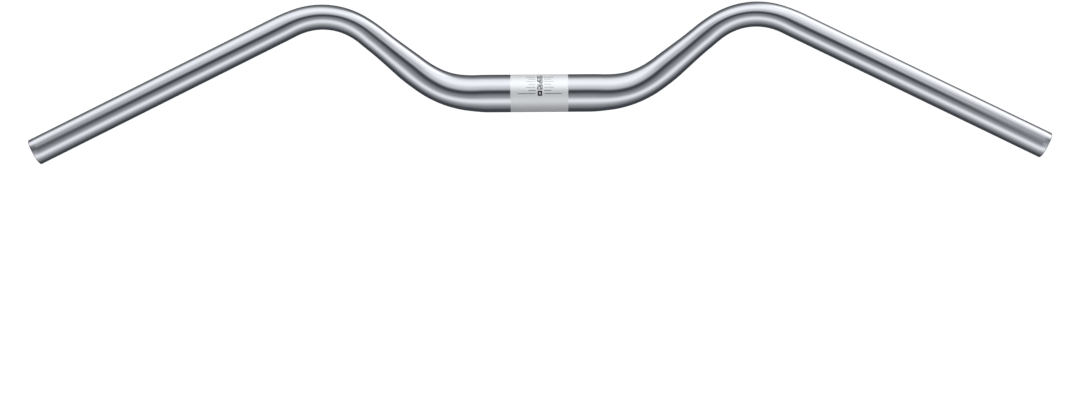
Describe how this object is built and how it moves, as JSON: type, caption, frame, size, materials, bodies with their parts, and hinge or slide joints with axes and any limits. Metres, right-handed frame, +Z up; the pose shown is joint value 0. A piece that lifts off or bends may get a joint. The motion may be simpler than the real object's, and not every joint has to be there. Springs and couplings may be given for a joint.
{
  "type": "swept-back handlebar",
  "caption": "Bicycle handlebar bent from one tube: thick clamp section, taper, forward and slightly rising double bends, long straight grips swept back.",
  "frame": {"origin": "middle of the stem clamp length, on the tube's axis", "axes": "+X along the clamp to the rider's right, +Y forward in the direction of travel, +Z up; the grips sweep back to -Y"},
  "size_m": [0.8432, 0.1317, 0.0652],
  "materials": {
    "polished_tube": "polished and anodised, silver",
    "blasted_band": "blasted satin clamp band",
    "scale_print": "thin matt dark grey print"
  },
  "bodies": {
    "root": {"handlebar": "polished_tube"}
  },
  "joints": []
}
